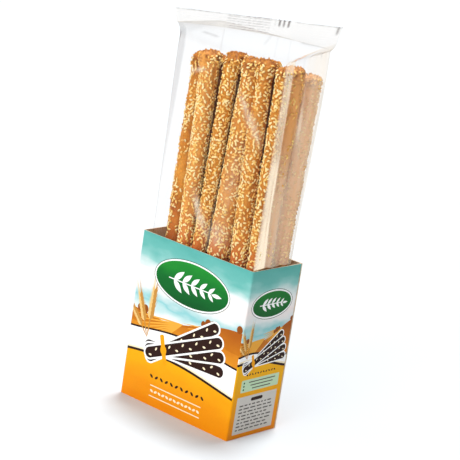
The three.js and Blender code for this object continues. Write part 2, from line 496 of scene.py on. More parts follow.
def coatedBoard(name, stops):
    # offset print on coated board under a thin water-based varnish: satin, with the faint grain of the
    # board below. stops are (height in millimetres, colour) from the bottom up, or one colour
    material, add, place = newMaterial(name)
    if isinstance(stops, str):
        stops = [(0, stops), (carton["height"], stops)]
    low, high = stops[0][0], stops[-1][0]
    # soft banks of tone about 25 mm long bend the gradient by a few millimetres, at most by 10
    bankLength, bend = 25, 10
    level = add("SeparateXYZ", {"Vector": place}).outputs["Z"]
    wide = add("Mapping", {"Vector": place, "Scale": (1, 1, 2.4)})
    bank = add("TexNoise", {"Vector": wide, "Scale": 1 / (bankLength * mm), "Detail": 2})
    drift = add("Math", {0: bank, 1: 2 * bend * mm, 2: level}, operation="MULTIPLY_ADD")
    share = add("MapRange", {0: drift, 1: (low + bend) * mm, 2: (high + bend) * mm})
    ramp = add("ValToRGB", {"Fac": share})
    fillRamp(ramp, [((height - low) / (high - low), colour) for height, colour in stops])
    # ink mottle about 1.5 mm across, seen as a slight unevenness
    cloud = add("TexNoise", {"Vector": place, "Scale": 1 / (1.5 * mm), "Detail": 2})
    bright = add("MapRange", {0: cloud, 3: 0.96, 4: 1.03})
    tone = add("HueSaturation", {"Color": ramp, "Value": bright})
    # board fibres, about 0.4 mm across
    fibre = add("TexNoise", {"Vector": place, "Scale": 1 / (0.4 * mm), "Detail": 2})
    bump = add("Bump", {"Height": fibre, "Strength": 0.15, "Distance": 0.05 * mm})
    rough = add("MapRange", {0: cloud, 3: 0.42, 4: 0.52})
    finish = {"Base Color": tone, "Roughness": rough, "Normal": bump, "IOR": 1.5, "Specular IOR Level": 0.11}
    skin = add("BsdfPrincipled", finish)
    add("OutputMaterial", {"Surface": skin})
    return material


def rawBoard(name, colour, dark):
    # uncoated recycled board: matt, with flecks of longer fibre about 0.9 mm across
    material, add, place = newMaterial(name)
    stretch = add("Mapping", {"Vector": place, "Scale": (1, 1, 0.35)})
    grain = {"Vector": stretch, "Scale": 1 / (0.9 * mm), "Detail": 4, "Roughness": 0.7}
    fleck = add("TexNoise", grain)
    ramp = add("ValToRGB", {"Fac": fleck})
    fillRamp(ramp, [(0.32, dark), (0.62, colour)])
    bump = add("Bump", {"Height": fleck, "Strength": 0.3, "Distance": 0.1 * mm})
    skin = add("BsdfPrincipled", {"Base Color": ramp, "Roughness": 0.88, "Normal": bump})
    add("OutputMaterial", {"Surface": skin})
    return material


inkColours = {
    "skyPrint": [
        (60, "#fbf4ee"),
        (66, "#cfe2e0"),
        (72, "#8cc8ca"),
        (78, "#e2e6e4"),
        (86, "#f3e8e3"),
        (93, "#eceeec"),
        (101, "#92c8c2"),
        (107, "#68b4ab"),
        (115.5, "#5aaba2"),
    ],
    "whiteBoard": "#fbfaf8",
    "whiteInk": "#f8f8f6",
    "creamInk": "#f4e4c0",
    "cocoaInk": "#2b120b",
    "farHill": [(48, "#cf7d12"), (74, "#a9570f")],
    "nearHill": [(44, "#e39420"), (66, "#bf6c12")],
    "furrow": "#eaa63a",
    "treeInk": "#8f4a0d",
    "strawLight": "#e8c079",
    "strawDark": "#c1893c",
    "tieInk": "#f0a000",
    "orangeField": [(0, "#e88600"), (14, "#ea9000"), (30, "#eea500"), (52, "#f1b306")],
    "deepGreen": "#0c3a1a",
    "plaqueGreen": [(78, "#03521f"), (90, "#076826"), (104, "#1d8a2c")],
    "paleGreen": "#c2dcb8",
    "infoGrey": "#cfcac2",
    "greyInk": "#4d463f",
}


def makeCarton():
    flat, faces, inks = printedTriangles()
    spots, normals = wrap.at(flat[:, 0])
    outer = np.column_stack([spots, flat[:, 1]])
    inner = np.column_stack([spots - normals * carton["board"], flat[:, 1]])
    count = len(flat)
    edges = dict.fromkeys(e for a, b, c in faces.tolist() for e in ((a, b), (b, c), (c, a)))
    sides = [(b, a, a + count, b + count) for a, b in edges if (b, a) not in edges]
    allFaces = faces.tolist() + (faces[:, ::-1] + count).tolist() + sides
    names = list(inkColours) + ["plainBoard"]
    materials = [coatedBoard(name, inkColours[name]) for name in inkColours]
    materials.append(rawBoard("creamBoardInside", "#e9dac4", "#cfb898"))
    kinds = [names.index(ink) for ink in inks] + [len(names) - 1] * (len(faces) + len(sides))
    strip = newPiece("cartonBoard", np.concatenate([outer, inner]), allFaces, materials, kinds)
    # laid out flat for baking, the outside below and the inside above
    spread = flat / [wrap.length * 1.01, carton["height"] * 2.06] + 0.004
    layout = np.concatenate([spread, spread + [0, 0.5]])
    corners = np.zeros(len(strip.data.loops), np.int32)
    strip.data.loops.foreach_get("vertex_index", corners)
    strip.data.uv_layers.new(name="OFBake").data.foreach_set("uv", layout[corners].ravel())
    return strip


def makeCartonBase():
    # two base flaps that meet in a joint, seen from below
    t, gap = carton["board"], carton["seamGap"] / 2
    w, d = (carton[k] / 2 - t - carton["baseGap"] for k in ("width", "depth"))
    points, faces = [], []
    for y0, y1 in ((-d, carton["seam"] - gap), (carton["seam"] + gap, d)):
        start = len(points)
        points += [(x, y, z) for z in (0.0, t) for x, y in ((-w, y0), (w, y0), (w, y1), (-w, y1))]
        for quad in ((3, 2, 1, 0), (4, 5, 6, 7), (0, 1, 5, 4), (1, 2, 6, 5), (2, 3, 7, 6), (3, 0, 4, 7)):
            faces.append([start + i for i in quad])
    return newPiece("cartonBase", points, faces, [rawBoard("greyboardBase", "#b39268", "#8a6c48")])


cartonBoard = makeCarton()
cartonBase = makeCartonBase()
for piece in (cartonBoard, cartonBase):
    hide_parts("carton")
    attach(piece, "root")
print("carton folded:", len(cartonBoard.data.polygons), "faces")


# film bag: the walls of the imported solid, in thin clear film

bag = {
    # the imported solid's own sizes
    "floor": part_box("film_bag")[0][2] / mm,
    "restGap": 0.3,  # between the bag and the board it touches
    "left": -42.6,
    "back": 15.4,
    "flareLeft": 1.9,  # how much wider the bag is at the stick tops than in the carton
    "flareBack": 5.2,
    "flareStart": 95,
    "foldHeight": 253,  # where the four walls fold in over the stick tops
    "foldClimb": 3.5,
    "foldSag": 3,
    "foldBlend": 25,
    "foldEase": 1.35,
    "sealRise": 6.5,
    "sealHeight": 9.6,
    "sealTilt": math.radians(6.8),
    "sealShift": -1.8,
    "sealSpread": 1.5,
    "cornerWindow": 7,
    "stickPitch": 15.2,
    "stickInset": 6.5,
    "sticksWide": 5,
    "sticksDeep": 3,
    "fluteDepth": 0.9,
    "stickTop": 240,
    "finWidth": 11,
    "finOffset": 6,
    "bottomRound": 4,
    # the film's own
    "sealThickness": 0.35,
    "finThickness": 0.35,
    "around": 352,  # points round the bag
    "cornerSteps": 12,
    "hidden": 108,  # the carton hides the film below this height
    "rows": {"hidden": 14, "walls": 112, "fold": 30, "seal": 40},
    "slack": 0.18,  # depth of the hollows down the walls
    "crumple": 0.2,
    "pull": 0.45,  # depth of the short hollows pulled from the seal
    "pullSpan": (-22, 4),  # heights about the fold over which they deepen
    "sealWaves": [(0.55, 9, 0), (0.35, 4.1, 1)],  # (depth, length, phase) of the seal's cut edge
    "crimps": 6,  # pressed lines across the seal
    "crimpDepth": 0.10,
    "pressed": (-25, -21, 10, 13),  # x over which the crimp lines come and go
    "bars": (15, 17, 26, 28),
    "barPitch": 3.59,
    "darkEnd": 64,
    "toothPitch": 2.1,  # zigzag of the cut edge
    "toothHeight": 1.0,
    # places on the front wall made to mirror more, as painted glints: (x, z, turn in degrees, length, width,
    # strength)
    "glints": [
        (16, 218, -56, 7, 1.6, 0.42),
        (24, 208, -50, 10, 3.4, 0.40),
        (31, 199, -64, 6, 2.0, 0.26),
        (-10, 145, -66, 7, 2.6, 0.46),
        (-5, 136, -60, 8, 2.8, 0.46),
        (10, 130, 10, 8, 7, 0.28),
        (-24.5, 230, 24, 7.5, 1.5, 0.50),
        (15, 160, 80, 26, 6, 0.14),
    ],
    # and one painted glint on the right wall: (millimetres behind the front corner, z, length, width,
    # strength)
    "sideGlint": (23.5, 211, 13, 2.0, 0.34),
    # the right wall from the front corner back: a tucked pleat, then a near and a far sheet where film lies
    # over film, all drawn only as how much the film mirrors, a painted sheen set up the wall.
    # Where a value changes up the wall, it is given as stops of (height, value)
    "pleatWidth": [(110, 12), (158, 9)],
    "pleatShine": [(180, 0.74), (195, 0.38), (203, 0.38), (220, 0.54)],
    "pleatEdgeShine": 0.22,
    "nearShine": [(150, 0.36), (215, 0.02)],
    "nearEnd": (18, 23),  # how far behind the corner it gives way to the far sheet
    "farShine": [(155, 0.26), (175, 0.36)],
    "farLoss": [(205, 0), (222, 0.14)],
    "farLossEnd": (24, 34),
    "leftShine": 0.015,
    "sealShine": 0.01,
    "sealHaze": 0.02,
    # how grey the creases are drawn, as painted shade: a band at the left front corner, and lines at the
    # corners behind
    "bandWidth": [(125, 1.2), (245, 6.6)],
    "bandGrey": [(125, 0.13), (245, 0.30)],
    "bandEdgeGrey": 0.12,
    "rearGrey": [(125, 0.10), (245, 0.24)],
    # on the right wall, where the film hugs the second stick and the last one
    "secondPlace": 18.2,
    "secondGrey": 0.10,
    "lastPlace": [(150, 37.0), (230, 40.8)],
    "lastGrey": [(228, 0.46), (242, 0)],
    "rightGrey": [(225, 0), (245, 0.07)],
    # along both edges of the fin, on the fold over the sticks, and in the seal
    "finGrey": 0.10,
    "foldGrey": (0.09, 0.03),  # in front and behind
    "lineGrey": (0.015, 0.26),  # of the crimp lines, everywhere and where they are pressed in
    "sealGrey": 0.03,
    "toothGrey": 0.34,
    "barGrey": 0.7,
    "endGrey": 0.5,
    # grey folds under the seal, painted shade: (x, z, x, z, width, strength, behind)
    "folds": [
        (-31, 252.8, -17, 252.4, 0.5, 0.30, False),
        (-8, 249, -3, 256, 0.9, 0.16, True),
        (22, 256.6, 46, 257.8, 0.5, 0.34, True),
        (2, 257.5, 12, 258.2, 0.6, 0.16, True),
    ],
}


def bagWalls(z):
    # x of the left and right walls and y of the front and back walls at a height
    front = -carton["depth"] / 2 + carton["board"] + bag["restGap"]
    right = carton["width"] / 2 - carton["board"] - bag["restGap"]
    flare = smoothStep(z, bag["flareStart"], bag["foldHeight"])
    return bag["left"] - bag["flareLeft"] * flare, right, front, bag["back"] + bag["flareBack"] * flare


def flute(distance, sticks):
    # how far the film sinks between the sticks that lie along a wall
    past = distance - bag["stickInset"]
    on = (past > 0) & (past < (sticks - 1) * bag["stickPitch"])
    return on * bag["fluteDepth"] / 2 * (1 - np.cos(2 * math.pi * past / bag["stickPitch"]))


def bagOutline(share, walls, closed, fluted):
    # share runs from the middle of the left wall along the front to the right, and back behind; beyond is
    # how far round a corner a point is, negative in the front and back walls
    left, right, front, back = walls
    turn = share % 1
    behind = turn > 0.5
    along = np.where(behind, 1 - turn, turn)
    depth = (back - front) / 2
    halfWidth = (right - left) / 2 + depth * closed
    halfDepth = depth * (1 - closed)
    place = (along * 4 - 1) * (halfWidth + halfDepth)
    beyond = np.abs(place) - halfWidth
    past = np.maximum(beyond, 0)
    sinkWide = np.where(past > 0, 0, fluted * flute(halfWidth - place, bag["sticksWide"]))
    sinkDeep = fluted * flute(np.where(behind, 2 * halfDepth - past, past), bag["sticksDeep"])
    x = np.sign(place) * (np.minimum(np.abs(place), halfWidth) - sinkDeep)
    return x, (halfDepth - past - sinkWide) * np.where(behind, 1, -1), beyond


def bagRows():
    # (height, closed, inset) from the underside to the cut edge
    floor, fold, rows = bag["floor"], bag["foldHeight"], bag["rows"]
    turn = 1.2  # half way round the turn at the foot
    found = [(floor, 0, bag["bottomRound"]), (floor + turn, 0, turn)]
    low = np.linspace(floor + bag["bottomRound"], bag["hidden"], rows["hidden"])
    found += [(z, 0, 0) for z in (*low, *np.linspace(bag["hidden"], fold, rows["walls"])[1:])]
    for share in np.arange(1, rows["fold"] + 1) / rows["fold"]:
        found.append((fold + bag["sealRise"] * share, share ** bag["foldEase"], 0))
    for share in np.arange(1, rows["seal"] + 1) / rows["seal"]:
        height = fold + bag["sealRise"] + bag["sealHeight"] * share
        found.append((height, 1, -bag["sealSpread"] * share))
    return found


slack = Ripples(11, (16, 80))
crumple = Ripples(12, (6, 18))
pulls = Ripples(13, (4.6, 40))
sealPress = Ripples(14, (3.2, 2.4), 20)


def frontGlints(x, z):
    # painted glints: the film mirrors more at the listed spots, broken up by noise
    shine = 0
    for gx, gz, turn, length, width, strength in bag["glints"]:
        c, s = math.cos(math.radians(turn)), math.sin(math.radians(turn))
        far, off = (x - gx) * c + (z - gz) * s, (z - gz) * c - (x - gx) * s
        rubbed = np.clip(1 + 0.35 * sealPress.at(x * 0.8, z * 0.5), 0.3, 1.4)
        shine = shine + strength * rubbed * bell(far, length) * bell(off, width)
    return shine


def rightWallSheen(deep, z):
    # how much the right wall mirrors, as painted sheen set by height and depth: the tucked pleat with its
    # bright edge, the sheets behind it and a painted glint on them
    pleat = profile(z, bag["pleatWidth"])
    tucked = between(deep, -0.6, 2.4, pleat - 1.5, pleat + 0.5)
    shine = profile(z, bag["pleatShine"]) * tucked + bag["pleatEdgeShine"] * bell(deep - pleat + 1.2, 0.7)
    near = fade(deep, *bag["nearEnd"])
    farShine = profile(z, bag["farShine"]) - profile(z, bag["farLoss"]) * fade(deep, *bag["farLossEnd"])
    sheet = near * profile(z, bag["nearShine"]) + (1 - near) * farShine
    glintDeep, glintHeight, length, width, strength = bag["sideGlint"]
    glint = strength * bell(deep - glintDeep, width) * bell(z - glintHeight, length)
    return shine + sheet * (1 - 0.6 * tucked) + glint


def foldCreaseShade(shown, behind):
    # the grey folds under the seal, painted shade, placed by the points themselves
    crease = 0
    for x0, z0, x1, z1, width, strength, rear in bag["folds"]:
        reach = math.hypot(x1 - x0, z1 - z0)
        dx, dz = shown[:, 0] - x0, shown[:, 2] - z0
        far = (dx * (x1 - x0) + dz * (z1 - z0)) / reach
        off = (dz * (x1 - x0) - dx * (z1 - z0)) / reach
        ends = between(far, -2, 2, reach - 2, reach + 2)
        crease = crease + strength * ends * bell(off, width) * (behind == rear)
    return crease


def sealCreaseShade(x, z):
    # crimp lines where the fin is pressed in and dark teeth along the cut, as painted shade, then three grey
    # bars and a dark right end
    past = (z - bag["foldHeight"] - bag["sealRise"]) / bag["sealHeight"]
    lines = 0.5 + 0.5 * math.cos(2 * math.pi * bag["crimps"] * past)
    broken = np.clip(0.6 + 0.5 * sealPress.at(x, z), 0.05, 1)
    everywhere, pressedIn = bag["lineGrey"]
    crease = lines * (pressedIn * between(x, *bag["pressed"]) * broken + everywhere) + bag["sealGrey"]
    teeth = np.clip(0.5 + 0.8 * sealPress.at(x * 2.2, 7.0), 0, 1)
    crease = crease + bag["toothGrey"] * teeth * smoothStep(past, 0.82, 0.97)
    bars = between(x, *bag["bars"]) * smoothStep(np.sin(2 * math.pi * x / bag["barPitch"]), 0, 0.8)
    crease = crease + bag["barGrey"] * bars * smoothStep(past, 0.4, 0.65)
    return crease + bag["endGrey"] * bell(x - bag["darkEnd"], 0.9) * smoothStep(past, 0.3, 0.6)


def filmLook(x, z, beyond, share, closed, shown):
    # how much the film mirrors, with painted glints and painted sheen, how grey it is drawn along creases as
    # painted shade, and how milky it is, at each point of one row
    _, _, front, back = bagWalls(z)
    behind = share > 0.5
    side = smoothStep(beyond, -0.6, 0.6) * (1 - closed)
    deep = np.where(behind, back - front - beyond, beyond)  # from the front corner along a side wall
    layersAndPaintedGlints = side * np.where(x > 0, rightWallSheen(deep, z), bag["leftShine"]) + bag["sealShine"] * closed
    layersAndPaintedGlints = layersAndPaintedGlints + frontGlints(x, z) * ~behind * (beyond < 0)
    milky = bag["sealHaze"] * (closed + (closed == 1))
    looks = {"layersAndPaintedGlints": layersAndPaintedGlints, "haze": np.full(len(x), milky)}
    if closed == 1:
        return looks | {"crease": sealCreaseShade(x, z)}

    # painted shade along the creases at the corners
    wide = profile(z, bag["bandWidth"])
    band = between(beyond, -wide - 1.2, -wide + 0.6, 0, 1.5) * ~behind
    atLeft = (x < 0) & (beyond > -9)
    crease = atLeft * (bag["bandEdgeGrey"] * bell(beyond, 0.9) + profile(z, bag["bandGrey"]) * band)
    crease = crease + (x > 0) * behind * profile(z, bag["rearGrey"]) * bell(beyond, 1.2)
    # on the right wall
    onRight = bag["secondGrey"] * bell(deep - bag["secondPlace"], 0.7) + profile(z, bag["rightGrey"])
    onRight = onRight + profile(z, bag["lastGrey"]) * bell(deep - profile(z, bag["lastPlace"]), 1.5)
    crease = crease * (1 - closed) + side * (x > 0) * onRight
    # along the fin, on the fold over the stick tops, and under the seal
    onFin = bell(np.abs(x - bag["finOffset"]) - bag["finWidth"] / 2, 0.45)
    crease = crease + bag["finGrey"] * onFin * behind * (beyond < -1) * (z > bag["stickTop"])
    inFront, atBack = bag["foldGrey"]
    crease = crease + np.where(behind, atBack, inFront) * bell(z - bag["foldHeight"], 1.8)
    return looks | {"crease": np.clip(crease + foldCreaseShade(shown, behind), 0, 1)}


def filmRow(share, z, closed, inset):
    # the points of one row, and what filmLook needs to know about them
    around = bag["around"]
    walls = left, right, front, back = bagWalls(z)
    halfWidth, halfDepth = (right - left) / 2, (back - front) / 2
    fluted = fade(z, bag["stickTop"], bag["foldHeight"])
    girth = 4 * (halfWidth + halfDepth)
    x, y = 0, 0
    steps = bag["cornerSteps"]
    for step in range(steps):
        shift = ((step + 0.5) / steps - 0.5) * bag["cornerWindow"] / girth
        px, py, _ = bagOutline(share + shift, walls, closed, fluted)
        x, y = x + px / steps, y + py / steps
    plainX, _, beyond = bagOutline(share, walls, closed, 0)
    outwards = np.where(share > 0.5, 1.0, -1.0)
    outwards[[0, around // 2]] = 0
    onFin = (outwards > 0) & (np.abs(x - bag["finOffset"]) < bag["finWidth"] / 2)
    proud = bag["sealThickness"] / 2 * closed + onFin * bag["finThickness"]
    atFold = smoothStep(z, bag["foldHeight"] - bag["foldBlend"], bag["foldHeight"]) * (1 - closed)
    towardsFront = 0.5 - y / (2 * halfDepth)
    across = np.cos(math.pi / 2 * np.minimum(np.abs(x) / halfWidth, 1))
    climb = bag["foldClimb"] * (1 - 2 * towardsFront) - bag["foldSag"] * towardsFront * across
    height = z + climb * atFold + x * math.tan(bag["sealTilt"]) * closed
    # slack hollows down the walls, and shorter ones pulled from the seal
    place = share * girth
    nearSeal = smoothStep(z - bag["foldHeight"], *bag["pullSpan"])
    pulled = bag["crumple"] * np.abs(crumple.at(place, z)) + bag["pull"] * np.abs(pulls.at(place, z))
    out = -(bag["slack"] * np.abs(slack.at(place, z)) + nearSeal * pulled) * (1 - closed)
    if closed == 1:
        past = (z - bag["foldHeight"] - bag["sealRise"]) / bag["sealHeight"]
        out = out + bag["crimpDepth"] * math.sin(2 * math.pi * bag["crimps"] * past)
        y = y + past * sum(depth * np.sin(x / length + phase) for depth, length, phase in bag["sealWaves"])
        tooth = np.abs((x / bag["toothPitch"]) % 1 - 0.5) * 2 * bag["toothHeight"]
        height = height - tooth * smoothStep(past, 0.86, 1)
    onSide = beyond > -1.5
    y = y + np.where(onSide, 0, out * outwards)
    x = x + np.where(onSide, out * np.sign(x), 0)
    x = (left + right) / 2 + bag["sealShift"] * closed + x * (1 - inset / halfWidth)
    y = (front + back) / 2 + y * (1 - max(inset, 0) / halfDepth) + proud * outwards
    return np.stack([x, y, height], 1), plainX, beyond


def makeFilm():
    around = bag["around"]
    share = np.arange(around) / around
    points = []
    looks = {"layersAndPaintedGlints": [], "crease": [], "haze": []}
    for z, closed, inset in bagRows():
        shown, plainX, beyond = filmRow(share, z, closed, inset)
        points.append(shown)
        for name, values in filmLook(plainX, z, beyond, share, closed, shown).items():
            looks[name].append(np.clip(values, 0, 1))
    rows = len(points)
    faces = ringFaces(around, 0, rows)
    # the underside and the cut edge are closed with strips between the front and the back
    for base, up in ((0, False), ((rows - 1) * around, True)):
        for i in range(around // 2):
            loop = [base + i, base + i + 1, base + around - i - 1, base + (around - i) % around]
            loop = list(dict.fromkeys(loop))
            faces.append(loop if up else loop[::-1])
    return newPiece("filmBag", np.concatenate(points), faces, [clearFilm()], looks=looks)


def clearFilm():
    # biaxially stretched polypropylene film, heat-sealed: glass-clear and glossy, mirroring more where
    # sheets of film lie over each other and at painted glints, with painted grey shade along creases and at
    # a low angle, and milky where it is pressed
    material, add, place = newMaterial("clearPolypropyleneFilm")
    looks = [add("Attribute", attribute_name=k) for k in ("layersAndPaintedGlints", "crease", "haze")]
    layersAndPaintedGlints, crease, haze = (look.outputs["Fac"] for look in looks)
    facing = add("LayerWeight", {"Blend": 0.5}).outputs["Facing"]

    # upright streaks of slack film, 3 mm across and 46 mm long
    upright = add("Mapping", {"Vector": place, "Scale": (1, 1, 0.065)})
    streaks = add("TexNoise", {"Vector": upright, "Scale": 1 / (3 * mm), "Detail": 3})
    streak = add("MapRange", {0: streaks, 1: 0.35, 2: 0.68, 3: 0.8, 4: 1.2})
    bump = add("Bump", {"Height": streaks, "Strength": 0.3, "Distance": 0.15 * mm})

    # one layer mirrors little, and more of them, the painted glints, the painted sheen and a low angle
    # mirror more
    grazing = add("Math", {0: facing, 1: 4.0}, operation="POWER")
    single = add("Math", {0: grazing, 1: 0.14, 2: 0.02}, operation="MULTIPLY_ADD")
    clamped = {"operation": "MULTIPLY_ADD", "use_clamp": True}
    mirror = add("Math", {0: layersAndPaintedGlints, 1: streak, 2: single}, **clamped)
    rough = add("MapRange", {0: layersAndPaintedGlints, 1: 0.0, 2: 0.3, 3: 0.06, 4: 0.18})
    # grey at a low angle and along creases: painted shade in the film's clear colour
    shade = add("Math", {0: grazing, 1: 0.16, 2: crease}, **clamped)
    tint = add("Mix", {0: shade, 6: "#fdfcfb", 7: "#9a9696"}, data_type="RGBA")
    clear = add("BsdfTransparent", {"Color": tint.outputs[2]})
    # the reflections get a warm painted tint
    gloss = add("BsdfGlossy", {"Color": "#ffe9cb", "Roughness": rough, "Normal": bump})
    milk = add("BsdfDiffuse", {"Color": "#fff3e0"})
    shine = add("MixShader", {0: mirror, 1: clear, 2: gloss})
    film = add("MixShader", {0: haze, 1: shine, 2: milk})
    add("OutputMaterial", {"Surface": film})
    return material


filmBag = makeFilm()
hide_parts("film_bag")
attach(filmBag, "root")
print("film drawn:", len(filmBag.data.polygons), "faces")


# breadsticks

sticks = {
    "foot": 1.6,
    "rim": 115,  # height of the carton's rim
    "high": 245,  # height of the places near the top
    "clearance": 0.9,  # room for the seeds between a stick and the film
    # (x, y, radius) at the rim, the same near the top, height of the top, swelling of the end
    "outer": [
        ((-35.2, -7.7, 6.7), (-37.0, -4.6, 6.3), 237, 1.06),
        ((-17.0, -18.1, 5.2), (-19.7, -17.1, 6.2), 242.6, 1.2),
        ((-4.1, -18.8, 4.3), (0.3, -18.5, 4.7), 243.0, 1.12),
        ((10.8, -15.6, 7.5), (15.8, -17.4, 5.6), 245.8, 1.16),
        ((28.9, -17.4, 5.6), (22.4, -13.1, 5.6), 245.6, 1.2),
        ((43.0, -19.5, 3.7), (42.4, -19.2, 4.1), 245.0, 1.03),
        ((40.2, -8.0, 6.2), (40.2, -4.6, 6.3), 245.2, 1.03),
        ((40.4, 8.8, 6.0), (40.4, 13.2, 6.3), 239.6, 1.03),
        ((-35.4, 6.6, 6.6), (-36.8, 9.2, 6.6), 236, 1.1),
        ((-21.0, 8.2, 6.4), (-22.4, 12.8, 6.4), 240, 1.1),
        ((-7.2, 8.4, 6.3), (-8.4, 12.9, 6.3), 236, 1.15),
        ((6.2, 8.3, 6.4), (5.4, 12.8, 6.4), 241, 1.05),
        ((19.8, 8.4, 6.3), (19.6, 12.9, 6.3), 239, 1.12),
    ],
    # (x, y, radius, top) where the hidden ones start before they settle
    "inner": [
        (-23.0, -2.4, 5.2, 236),
        (-10.0, -2.0, 4.6, 238),
        (3.0, -1.0, 4.6, 236),
        (18.0, -1.0, 4.6, 238),
        (30.5, 0.0, 4.6, 237),
    ],
    "innerSwell": 1.1,
    "paintedLight": {1: 0.4, 3: 0.15, 4: 0.1, 6: 0.75, 7: 0.9},  # sticks drawn with a lighter crust, painted light standing in for more light on them
    "settleSteps": 240,
    "tipRound": 3.4,  # length over which an end rounds off
    "lump": 0.03,  # share of the radius
    "knob": 0.12,
    "endKnob": 0.5,
    "crown": 1.1,  # height of the knobs on the tip
}


def settleSticks():
    # pushes the hidden sticks clear of the others and of the walls, at the rim and near the top
    levels = []
    for which, z in ((0, sticks["rim"]), (1, sticks["high"])):
        outer = np.array([row[which] for row in sticks["outer"]])
        inner = np.array([row[:3] for row in sticks["inner"]])
        left, right, front, back = bagWalls(z)
        for _ in range(sticks["settleSteps"]):
            for i in range(len(inner)):
                others = np.concatenate([outer, np.delete(inner, i, axis=0)])
                away = inner[i, :2] - others[:, :2]
                apart = np.linalg.norm(away, axis=1)
                push = np.maximum(inner[i, 2] + others[:, 2] + 0.3 - apart, 0)
                inner[i, :2] += 0.3 * (away / apart[:, None] * push[:, None]).sum(0)
                edge = inner[i, 2] + sticks["clearance"]
                inner[i, 0] = np.clip(inner[i, 0], left + edge, right - edge)
                inner[i, 1] = np.clip(inner[i, 1], front + edge, back - edge)
        # what still overlaps is a thinner stick
        for i in range(len(inner)):
            others = np.concatenate([outer, np.delete(inner, i, axis=0)])
            apart = np.linalg.norm(inner[i, :2] - others[:, :2], axis=1) - others[:, 2]
            inner[i, 2] = min(inner[i, 2], apart.min() - 0.1)
        levels.append(inner)
    swell = sticks["innerSwell"]
    return [(tuple(a), tuple(b), row[3], swell) for a, b, row in zip(*levels, sticks["inner"])]


class Stick:
    def __init__(self, number, rim, high, top, swell):
        self.rim, self.high, self.top, self.swell = np.array(rim), np.array(high), top, swell
        self.paintedLight = sticks["paintedLight"].get(number, 0.0)
        self.lumps = Ripples(100 + number, (2.2, 26))
        self.skin = Ripples(200 + number, (0.55, 5.0), 22)
        self.knobs = Ripples(400 + number, (0.95, 3.2), 20)
        random = np.random.default_rng(300 + number)
        self.bow = random.uniform(-0.3, 0.3, 2)
        self.phase = random.uniform(0, 6.28)
        self.flat = random.uniform(0, 0.04)

    def along(self, z):
        # (x, y, radius) at a height, straight from the rim to the top, and steady deep in the carton
        share = (np.asarray(z, float) - sticks["rim"]) / (sticks["high"] - sticks["rim"])
        return self.rim + (self.high - self.rim) * np.maximum(share, -0.3)[..., None]

    def centre(self, z):
        return self.along(z)[..., :2] + np.sin(np.asarray(z) / 21 + self.phase)[..., None] * self.bow

    def reach(self, angle, z):
        # radius of the crust, with long lumps, fine knobs and round, swollen ends
        r = self.along(z)[..., 2]
        r = r * (1 + sticks["lump"] * self.lumps.at(angle, z) + self.flat * np.cos(2 * angle + self.phase))
        end = smoothStep(z, self.top - 12, self.top - 6)
        r = r * (1 + (self.swell - 1) * end) + sticks["knob"] * self.skin.at(angle, z)
        r = r + sticks["endKnob"] * end * self.knobs.at(angle, z)
        for tip, way in ((self.top, 1), (sticks["foot"], -1)):
            depth = np.clip((tip - z) * way / sticks["tipRound"], 0, 1)
            r = r * np.sqrt(np.clip(1 - (1 - depth) ** 4, 0, 1))
        return r

    def rows(self, step):
        # heights of the rings: few in the carton, close where the stick shows, closest at its ends
        foot, top = sticks["foot"], self.top
        near = foot + np.array([0.0, 0.5, 1.5, 3, 5, 7])
        hidden = np.linspace(foot + 10, 92, 12)
        shown = np.arange(94, top - 12, 1.5 * step)
        end = np.arange(top - 11.6, top - 1.3, 0.6 * step)
        return np.concatenate([near, hidden, shown, end, top - np.array([1.1, 0.7, 0.4, 0.18, 0.04])])


def makeSticks(name, batch, around, step, crust):
    points, faces = [], []
    looks = {"tipBrowningAndShade": [], "paintedLight": []}
    angle = np.arange(around) / around * 2 * math.pi
    start = 0
    for stick in batch:
        heights = stick.rows(step)
        for z in heights:
            r = np.maximum(stick.reach(angle, np.full(around, z)), 0.02)
            x, y = stick.centre(z)
            rise = sticks["crown"] * stick.knobs.at(angle, 3 * r) * smoothStep(z, stick.top - 4, stick.top)
            rise = rise * smoothStep(r, 0.3, 2.0)
            points.append(np.stack([x + r * np.cos(angle), y + r * np.sin(angle), z + rise], 1))
            # browner towards the top, and darker in the hollows between the knobs there: end browning, with
            # painted shade in the hollows
            onTip = r < stick.along(z)[2] - 1
            hollow = np.clip(0.35 - 0.6 * stick.knobs.at(angle, 3 * onTip * r + z), 0, 1)
            looks["tipBrowningAndShade"].append(smoothStep(z, stick.top - 9, stick.top - 2) * hollow)
            looks["paintedLight"].append(np.full(around, stick.paintedLight))
        faces += ringFaces(around, start, len(heights))
        ring = start + np.arange(around)
        faces.append(ring[::-1].tolist())
        faces.append((ring + (len(heights) - 1) * around).tolist())
        start += len(heights) * around
    return newPiece(name, np.concatenate(points), faces, [bakedCrust(name + "Crust", crust)], looks=looks)


